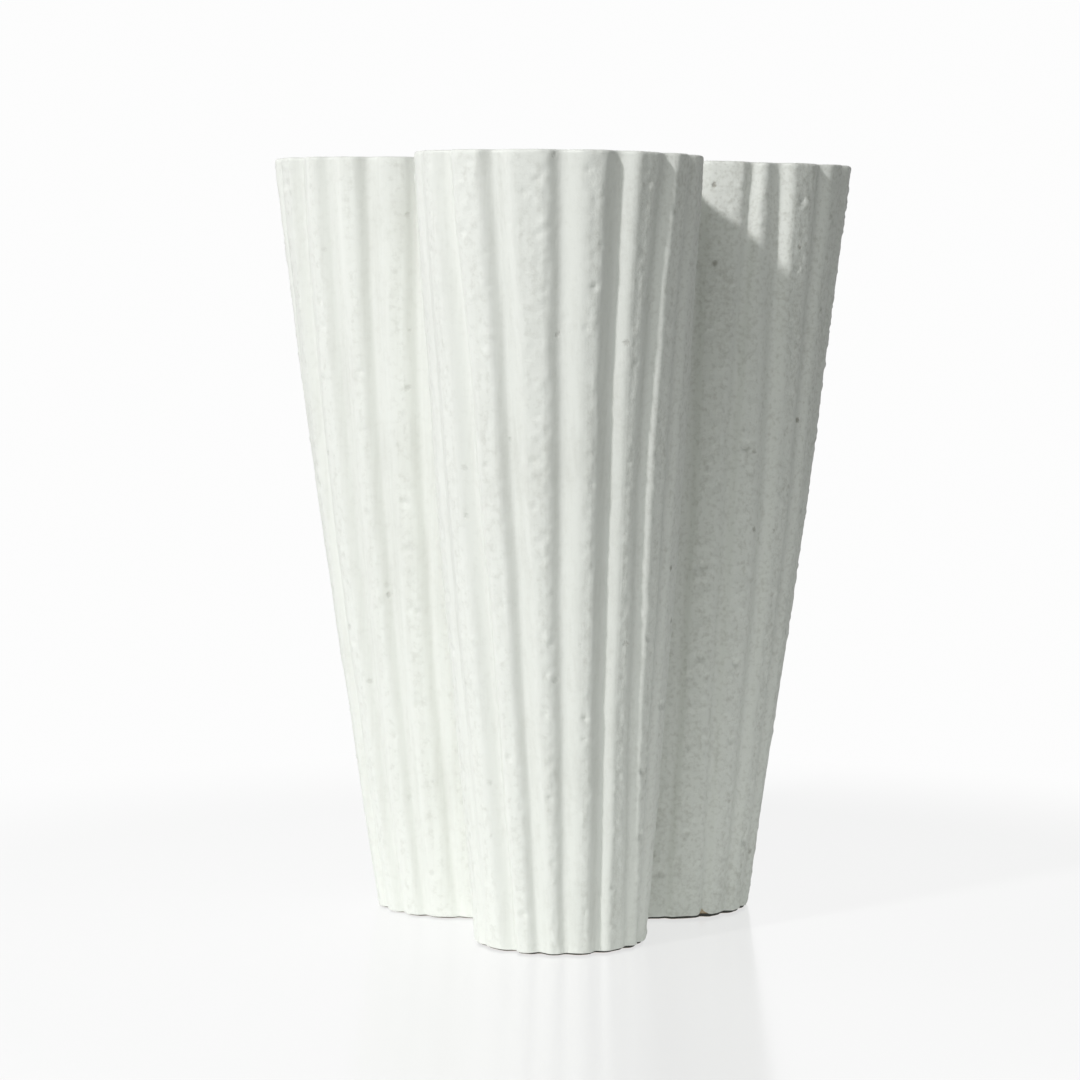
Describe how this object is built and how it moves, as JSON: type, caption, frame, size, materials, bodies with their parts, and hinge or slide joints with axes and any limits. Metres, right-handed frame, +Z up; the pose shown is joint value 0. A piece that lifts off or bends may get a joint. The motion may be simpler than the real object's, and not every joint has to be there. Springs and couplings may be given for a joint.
{
  "type": "vase",
  "caption": "Lobed, flared stoneware vase with upright flutes pressed into its walls and a white satin glaze, for water and cut flowers.",
  "frame": {"origin": "where the vase's axis meets the table, in the middle of the floor's underside", "axes": "+Z up along the axis to the rim, -Y towards the tip of the front lobe, +X towards the right lobe's side"},
  "size_m": [0.1779, 0.165, 0.23],
  "materials": {
    "bare_clay": "matte, grogged, unglazed",
    "white_glaze": "satin, pitted"
  },
  "bodies": {
    "root": {"front_lobe_wall": "bare_clay", "right_lobe_wall": "bare_clay", "left_lobe_wall": "bare_clay", "floor_slab": "bare_clay", "floor_coil": "bare_clay", "front_right_seam_coil": "bare_clay", "back_seam_coil": "bare_clay", "front_left_seam_coil": "bare_clay", "outer_glaze": "white_glaze", "inner_glaze": "white_glaze"}
  },
  "joints": []
}
